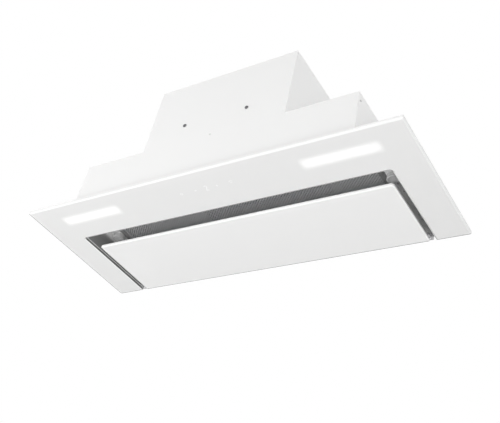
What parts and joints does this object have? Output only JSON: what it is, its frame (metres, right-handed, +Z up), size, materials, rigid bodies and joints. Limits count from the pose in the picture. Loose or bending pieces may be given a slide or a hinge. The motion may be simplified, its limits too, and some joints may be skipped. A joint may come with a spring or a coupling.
{
  "type": "built-in range hood",
  "caption": "Built-in range hood with a white glass plate, a slot of suction round a hinged centre flap, a mesh grease filter and a blower in a steel housing.",
  "frame": {"origin": "the middle of the glass plate's underside, at the bottom of the hood", "axes": "+X to the right as seen from the front, +Y to the back, +Z up, through the outlet collar"},
  "size_m": [0.8, 0.307, 0.33],
  "materials": {
    "white_glass": "glossy, opaque white from behind",
    "white_steel": "satin white powder coat",
    "tray_steel": "satin grey powder coat",
    "zinc_steel": "galvanised sheet",
    "steel": "zinc plated",
    "screw_steel": "zinc plated fasteners",
    "dark_screw": "black oxide",
    "filter_aluminium": "plain drawn aluminium",
    "motor_aluminium": "die cast",
    "copper_winding": "enamelled winding",
    "magnet": "nickel plated",
    "dark_plastic": "moulded",
    "grey_plastic": "moulded",
    "collar_plastic": "moulded",
    "circuit_board": "glass fibre board",
    "opal": "opal diffuser",
    "rubber": "black",
    "foam": "closed cell foam tape"
  },
  "bodies": {
    "root": {"glass_frame": "white_glass", "bonding_tape": "foam", "outlet_seal": "foam", "carrier_frame": "white_steel", "front_cover": "white_steel", "lower_housing": "white_steel", "upper_housing": "white_steel", "top_plate": "white_steel", "intake_tray": "tray_steel", "front_brace": "zinc_steel", "filter_frame": "filter_aluminium", "filter_mesh": "filter_aluminium", "latch_springs": "steel", "hinge_bracket_left": "steel", "hinge_bracket_right": "steel", "hinge_pins": "steel", "catch_cup_left": "grey_plastic", "catch_cup_right": "grey_plastic", "catch_magnets": "magnet", "cover_screws": "dark_screw", "housing_screws": "screw_steel", "top_screws": "screw_steel", "motor_screws": "screw_steel", "collar_screws": "screw_steel", "scroll_left": "zinc_steel", "scroll_right": "zinc_steel", "motor_bracket": "zinc_steel", "motor_can": "motor_aluminium", "motor_stator": "copper_winding", "motor_bearings": "steel", "motor_grommets": "rubber", "outlet_collar": "collar_plastic", "damper_pin": "steel", "electronics_box": "grey_plastic", "electronics_lid": "grey_plastic", "control_board": "circuit_board", "run_capacitor": "grey_plastic", "cable_gland": "dark_plastic", "led_housing_left": "motor_aluminium", "led_housing_right": "motor_aluminium", "led_boards": "circuit_board", "led_diffusers": "opal", "touch_board": "circuit_board", "touch_holder": "dark_plastic"},
    "flap": {"flap_glass": "white_glass", "flap_tape": "foam", "flap_tray": "tray_steel", "hinge_arm_left": "steel", "hinge_arm_right": "steel", "flap_rivets": "screw_steel", "strike_left": "steel", "strike_right": "steel"},
    "fan_rotor": {"impeller_disc": "zinc_steel", "impeller_rings": "zinc_steel", "impeller_blades": "zinc_steel", "motor_rotor": "steel"},
    "damper_front": {"damper_flap_front": "collar_plastic"},
    "damper_rear": {"damper_flap_rear": "collar_plastic"},
    "latch_left": {"filter_latch_left": "dark_plastic"},
    "latch_right": {"filter_latch_right": "dark_plastic"}
  },
  "joints": [
    {"name": "flap_hinge", "type": "hinge", "parent": "root", "child": "flap", "pos_m": [0, 0.149, 0.0034], "axis": [1, 0, 0], "range_deg": [0, 90]},
    {"name": "fan_spin", "type": "hinge", "parent": "root", "child": "fan_rotor", "pos_m": [0, -0.009, 0.166], "axis": [1, 0, 0], "continuous": true},
    {"name": "damper_front_swing", "type": "hinge", "parent": "root", "child": "damper_front", "pos_m": [0, 0.048, 0.3], "axis": [-1, 0, 0], "range_deg": [0, 75]},
    {"name": "damper_rear_swing", "type": "hinge", "parent": "root", "child": "damper_rear", "pos_m": [0, 0.048, 0.3], "axis": [1, 0, 0], "range_deg": [0, 75]},
    {"name": "latch_left_slide", "type": "slide", "parent": "root", "child": "latch_left", "axis": [0, 1, 0], "range_m": [0, 0.006], "stiffness_N_per_m": 400, "deforming": ["latch_springs"]},
    {"name": "latch_right_slide", "type": "slide", "parent": "root", "child": "latch_right", "axis": [0, 1, 0], "range_m": [0, 0.006], "stiffness_N_per_m": 400, "deforming": ["latch_springs"]}
  ]
}
